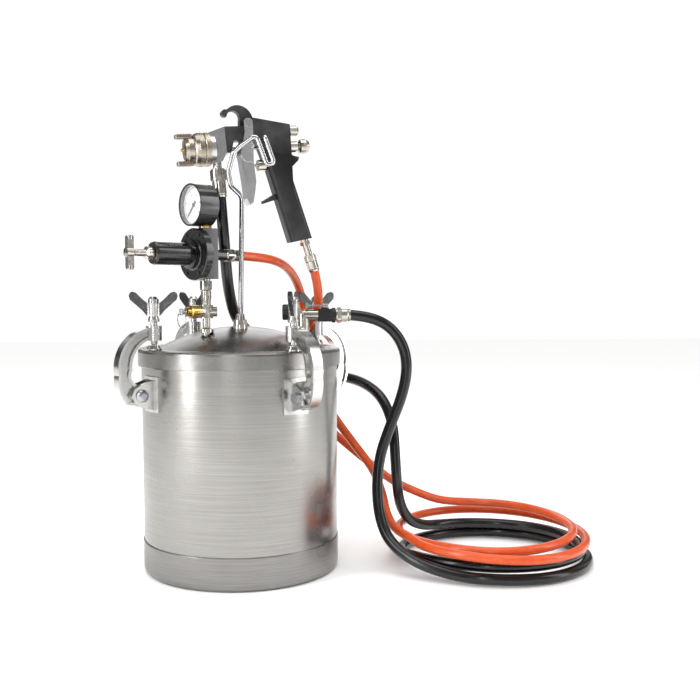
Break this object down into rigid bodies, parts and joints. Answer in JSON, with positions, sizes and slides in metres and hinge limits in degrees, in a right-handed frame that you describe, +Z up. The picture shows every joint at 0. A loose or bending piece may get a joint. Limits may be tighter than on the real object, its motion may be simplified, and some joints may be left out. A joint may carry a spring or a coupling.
{
  "type": "resin pressure pot",
  "caption": "Steel pressure pot with a clamped domed lid, air regulator, gauge, relief and bleed valves, fluid outlet, spray gun on a hanger rod and coiled hoses.",
  "frame": {"origin": "centre of the base on the floor", "axes": "+Z up, +X to the side of the fluid outlet, +Y to the back"},
  "size_m": [0.6056, 0.323, 0.5728],
  "materials": {
    "pot_steel": "satin",
    "skirt_steel": "satin",
    "lid_steel": "satin",
    "gasket_rubber": "matte",
    "cast_clamp": "polished casting",
    "clamp_screw": "bright, dark wings",
    "steel_fastener": "zinc plated",
    "rod_chrome": "bright",
    "nickel_fitting": "nickel plated",
    "brass": "turned",
    "ring_steel": "bright",
    "black_enamel": "gloss enamel",
    "internals": "plain",
    "dial_white": "matte white",
    "pointer_black": "matte",
    "lens_glass": "clear",
    "black_plastic": "knurled",
    "gun_black": "satin black coat",
    "head_aluminium": "polished",
    "warm_nickel": "brushed nickel",
    "black_hose": "gloss",
    "orange_hose": "gloss"
  },
  "bodies": {
    "root": {"air_inlet_plug": "nickel_fitting", "air_tee": "nickel_fitting", "base_ring": "skirt_steel", "black_hose_coil": "black_hose", "black_hose_gun": "black_hose", "black_hose_outlet": "black_hose", "bleed_body": "nickel_fitting", "cap_ring": "warm_nickel", "clamp_bolts": "steel_fastener", "clamp_brackets": "cast_clamp", "dip_tube": "internals", "fluid_nozzle": "brass", "gauge_case": "black_enamel", "gauge_dial": "dial_white", "gauge_lens": "lens_glass", "gauge_stem": "brass", "gun_body": "gun_black", "gun_fittings": "nickel_fitting", "gun_head": "head_aluminium", "hanger_gland": "nickel_fitting", "hanger_rod": "rod_chrome", "hose_ends": "nickel_fitting", "lid": "lid_steel", "lid_gasket": "gasket_rubber", "orange_hose_coil": "orange_hose", "orange_hose_gun": "orange_hose", "orange_hose_regulator": "orange_hose", "outlet_elbow": "nickel_fitting", "pot_shell": "pot_steel", "regulator_body": "black_enamel", "regulator_bonnet": "black_enamel", "regulator_internals": "internals", "riser_nipple": "nickel_fitting", "safety_valve_body": "brass", "trigger_pin": "steel_fastener", "valve_body": "black_enamel"},
    "arm_1": {"clamp_arm_1": "cast_clamp"},
    "pad_1": {"clamp_pad_1": "clamp_screw"},
    "screw_1": {"clamp_screw_1": "clamp_screw"},
    "arm_2": {"clamp_arm_2": "cast_clamp"},
    "pad_2": {"clamp_pad_2": "clamp_screw"},
    "screw_2": {"clamp_screw_2": "clamp_screw"},
    "arm_3": {"clamp_arm_3": "cast_clamp"},
    "pad_3": {"clamp_pad_3": "clamp_screw"},
    "screw_3": {"clamp_screw_3": "clamp_screw"},
    "arm_4": {"clamp_arm_4": "cast_clamp"},
    "pad_4": {"clamp_pad_4": "clamp_screw"},
    "screw_4": {"clamp_screw_4": "clamp_screw"},
    "trigger": {"trigger": "head_aluminium"},
    "needle": {"fluid_needle": "steel_fastener"},
    "air_stem": {"air_valve_stem": "steel_fastener"},
    "fan_knob": {"fan_knob": "nickel_fitting"},
    "fluid_knob": {"fluid_knob": "nickel_fitting"},
    "air_cap": {"air_cap": "warm_nickel"},
    "reg_handle": {"regulator_handle": "nickel_fitting"},
    "pointer": {"gauge_pointer": "pointer_black"},
    "safety_pull": {"safety_pull": "ring_steel"},
    "safety_ring": {"safety_ring": "ring_steel"},
    "valve_lever": {"valve_lever": "nickel_fitting"},
    "bleed_knob": {"bleed_knob": "black_plastic"}
  },
  "joints": [
    {"name": "clamp_swing_1", "type": "hinge", "parent": "root", "child": "arm_1", "pos_m": [0.07315, -0.11937, 0.226], "axis": [0.8526, 0.5225, 0], "range_deg": [0, 100]},
    {"name": "clamp_lift_1", "type": "slide", "parent": "arm_1", "child": "pad_1", "axis": [0, 0, 1], "range_m": [0, 0.004]},
    {"name": "clamp_screw_1", "type": "hinge", "parent": "pad_1", "child": "screw_1", "pos_m": [0.06166, -0.10061, 0.3], "axis": [0, 0, 1], "range_deg": [0, 721]},
    {"name": "clamp_swing_2", "type": "hinge", "parent": "root", "child": "arm_2", "pos_m": [0.11937, 0.07315, 0.226], "axis": [-0.5225, 0.8526, 0], "range_deg": [0, 40]},
    {"name": "clamp_lift_2", "type": "slide", "parent": "arm_2", "child": "pad_2", "axis": [0, 0, 1], "range_m": [0, 0.004]},
    {"name": "clamp_screw_2", "type": "hinge", "parent": "pad_2", "child": "screw_2", "pos_m": [0.10061, 0.06166, 0.3], "axis": [0, 0, 1], "range_deg": [0, 721]},
    {"name": "clamp_swing_3", "type": "hinge", "parent": "root", "child": "arm_3", "pos_m": [-0.07315, 0.11937, 0.226], "axis": [-0.8526, -0.5225, 0], "range_deg": [0, 100]},
    {"name": "clamp_lift_3", "type": "slide", "parent": "arm_3", "child": "pad_3", "axis": [0, 0, 1], "range_m": [0, 0.004]},
    {"name": "clamp_screw_3", "type": "hinge", "parent": "pad_3", "child": "screw_3", "pos_m": [-0.06166, 0.10061, 0.3], "axis": [0, 0, 1], "range_deg": [0, 721]},
    {"name": "clamp_swing_4", "type": "hinge", "parent": "root", "child": "arm_4", "pos_m": [-0.11937, -0.07315, 0.226], "axis": [0.5225, -0.8526, 0], "range_deg": [0, 100]},
    {"name": "clamp_lift_4", "type": "slide", "parent": "arm_4", "child": "pad_4", "axis": [0, 0, 1], "range_m": [0, 0.004]},
    {"name": "clamp_screw_4", "type": "hinge", "parent": "pad_4", "child": "screw_4", "pos_m": [-0.10061, -0.06166, 0.3], "axis": [0, 0, 1], "range_deg": [0, 721]},
    {"name": "trigger_pull", "type": "hinge", "parent": "root", "child": "trigger", "pos_m": [0.01, -0.005, 0.5511], "axis": [0.2756, -0.9613, 0], "range_deg": [0, 6.5], "stiffness_Nm_per_rad": 1.2, "springref_deg": -14.32},
    {"name": "needle_travel", "type": "slide", "parent": "root", "child": "needle", "axis": [0.9576, 0.2746, 0.0872], "range_m": [0, 0.0034]},
    {"name": "air_stem_travel", "type": "slide", "parent": "root", "child": "air_stem", "axis": [0.9576, 0.2746, 0.0872], "range_m": [0, 0.0058]},
    {"name": "fan_turn", "type": "hinge", "parent": "root", "child": "fan_knob", "pos_m": [0.06821, 0.01169, 0.54736], "axis": [0.9576, 0.2746, 0.0872], "range_deg": [0, 540]},
    {"name": "fluid_turn", "type": "hinge", "parent": "root", "child": "fluid_knob", "pos_m": [0.07943, 0.01491, 0.52871], "axis": [0.9576, 0.2746, 0.0872], "range_deg": [-1080, 0]},
    {"name": "cap_turn", "type": "hinge", "parent": "root", "child": "air_cap", "pos_m": [-0.05942, -0.02491, 0.51607], "axis": [-0.9576, -0.2746, -0.0872], "range_deg": [-90, 90]},
    {"name": "regulator_turn", "type": "hinge", "parent": "root", "child": "reg_handle", "pos_m": [-0.12202, -0.09721, 0.391], "axis": [-0.8202, -0.5721, 0], "range_deg": [-720, 720]},
    {"name": "gauge_sweep", "type": "hinge", "parent": "root", "child": "pointer", "pos_m": [-0.05312, -0.04915, 0.449], "axis": [0.8202, 0.5721, 0], "range_deg": [0, 270], "stiffness_Nm_per_rad": 0.002, "springref_deg": -17.19},
    {"name": "safety_travel", "type": "slide", "parent": "root", "child": "safety_pull", "axis": [-0.8202, -0.5721, 0], "range_m": [0, 0.003], "stiffness_N_per_m": 800, "springref_m": -0.003},
    {"name": "ring_swing", "type": "hinge", "parent": "safety_pull", "child": "safety_ring", "pos_m": [-0.06829, -0.05974, 0.323], "axis": [0.5721, -0.8202, 0], "range_deg": [-45, 45]},
    {"name": "outlet_lever", "type": "hinge", "parent": "root", "child": "valve_lever", "pos_m": [0.107, 0, 0.33], "axis": [0, 0, 1], "range_deg": [0, 90]},
    {"name": "bleed_turn", "type": "hinge", "parent": "root", "child": "bleed_knob", "pos_m": [0.066, -0.037, 0.322], "axis": [-1, 0, 0], "range_deg": [0, 720]}
  ],
  "couplings": [
    {"joint": "clamp_screw_1", "follows": "clamp_lift_1", "rad_per_m": 3141.6},
    {"joint": "clamp_screw_2", "follows": "clamp_lift_2", "rad_per_m": 3141.6},
    {"joint": "clamp_screw_3", "follows": "clamp_lift_3", "rad_per_m": 3141.6},
    {"joint": "clamp_screw_4", "follows": "clamp_lift_4", "rad_per_m": 3141.6},
    {"joint": "needle_travel", "follows": "trigger_pull", "m_per_rad": 0.0286},
    {"joint": "air_stem_travel", "follows": "trigger_pull", "m_per_rad": 0.05}
  ]
}
